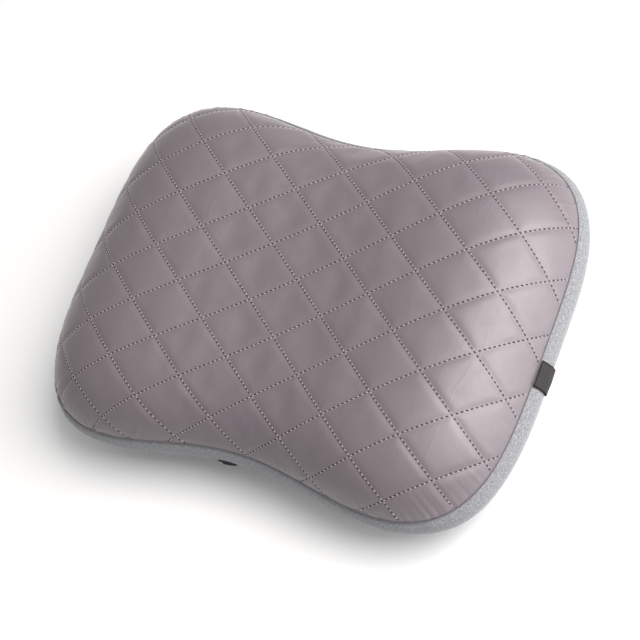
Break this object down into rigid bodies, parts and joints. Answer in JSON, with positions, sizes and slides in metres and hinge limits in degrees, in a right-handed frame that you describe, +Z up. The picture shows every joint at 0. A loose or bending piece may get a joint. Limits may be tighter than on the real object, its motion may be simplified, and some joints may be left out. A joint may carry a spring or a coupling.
{
  "type": "camp pillow",
  "caption": "Inflatable camp pillow with a waisted outline, a quilted satin top, heather sides and back, a zip underneath and a side valve.",
  "frame": {"origin": "on the floor under the middle of the pillow", "axes": "+X along the pillow's length towards the side tab, +Y across it away from the valve, +Z up"},
  "size_m": [0.4316, 0.3112, 0.099],
  "materials": {
    "satin": "quilted satin taffeta with a broad sheen",
    "heather": "matt heather knit",
    "wadding": "soft fibre wadding",
    "lining": "thin plain lining",
    "ribbon": "woven ribbon",
    "binding": "folded binding tape",
    "zip_nylon": "woven tape with a moulded coil",
    "zip_metal": "dark plated zip metal",
    "bladder_film": "smooth coated film",
    "valve_plastic": "fine satin moulding",
    "silicone": "soft translucent silicone"
  },
  "bodies": {
    "cover": {"face_fabric": "satin", "quilt_wadding": "wadding", "quilt_lining": "lining", "back_panel_front": "heather", "back_panel_rear": "heather", "seam_binding": "binding", "bladder_top_skin": "bladder_film", "bladder_bottom_skin": "bladder_film", "baffle_left": "bladder_film", "baffle_middle": "bladder_film", "baffle_right": "bladder_film", "zip_tape_front": "zip_nylon", "zip_tape_rear": "zip_nylon", "zip_coil_front": "zip_nylon", "zip_coil_rear": "zip_nylon", "zip_top_stop_front": "zip_metal", "zip_top_stop_rear": "zip_metal", "zip_bottom_stop": "zip_metal", "valve_base": "valve_plastic", "valve_eyelet": "binding"},
    "zip_slider": {"zip_slider": "zip_metal"},
    "zip_pull": {"zip_pull": "zip_metal"},
    "side_tab": {"side_tab": "ribbon"},
    "valve_plug": {"valve_plug": "valve_plastic"},
    "valve_cap": {"valve_cap": "valve_plastic"},
    "valve_flap": {"valve_flap": "silicone"}
  },
  "joints": [
    {"name": "zip_slide", "type": "slide", "parent": "cover", "child": "zip_slider", "axis": [-1, 0, 0], "range_m": [0, 0.216]},
    {"name": "zip_pull_swing", "type": "hinge", "parent": "zip_slider", "child": "zip_pull", "pos_m": [0.10845, 0.045, 0.00165], "axis": [0, -1, 0], "range_deg": [0, 155]},
    {"name": "side_tab_lift", "type": "hinge", "parent": "cover", "child": "side_tab", "pos_m": [0.21079, -0.01569, 0.059], "axis": [0, -1, 0], "range_deg": [0, 95], "stiffness_Nm_per_rad": 0.001},
    {"name": "valve_plug_open", "type": "hinge", "parent": "cover", "child": "valve_plug", "pos_m": [-0.01806, -0.13512, 0.02571], "axis": [0.9976, 0.0696, 0], "range_deg": [0, 90]},
    {"name": "valve_cap_open", "type": "hinge", "parent": "valve_plug", "child": "valve_cap", "pos_m": [-0.01792, -0.13717, 0.02796], "axis": [0.9976, 0.0696, 0], "range_deg": [0, 100]},
    {"name": "valve_flap_open", "type": "slide", "parent": "valve_plug", "child": "valve_flap", "axis": [-0.0657, 0.9423, 0.3283], "range_m": [0, 0.0015], "stiffness_N_per_m": 20}
  ]
}
